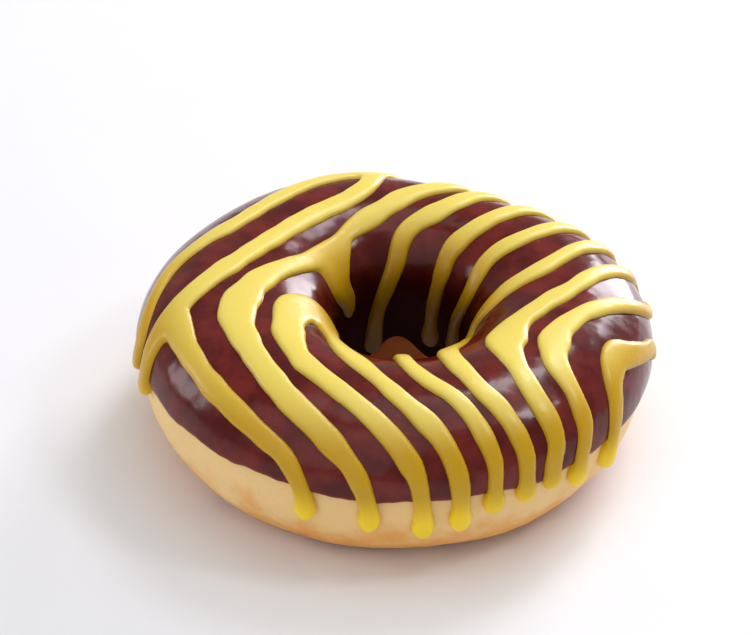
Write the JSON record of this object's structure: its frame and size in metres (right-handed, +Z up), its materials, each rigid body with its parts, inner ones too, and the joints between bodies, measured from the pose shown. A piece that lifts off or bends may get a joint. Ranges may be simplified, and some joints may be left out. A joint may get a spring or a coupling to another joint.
{
  "type": "ring doughnut",
  "caption": "Ring doughnut lying on its flat base, with a dark glossy coating on its upper half and poured yellow icing in chevron lines that end in drips.",
  "frame": {"origin": "centre of the bounding box, on the level of the flat base", "axes": "+Z up through the hole, -Y towards the side that faces the viewer in the picture, +X to the viewer's right"},
  "size_m": [0.092, 0.0913, 0.0312],
  "materials": {
    "dough": "soft fried dough, pale cream at the waist and golden below, matt with a faint sheen of fat",
    "coating": "set chocolate coating, dark red-brown, satin gloss",
    "icing": "set fondant icing, soft yellow, smooth with a low sheen"
  },
  "bodies": {
    "root": {"dough": "dough", "coating": "coating"}
  },
  "joints": []
}
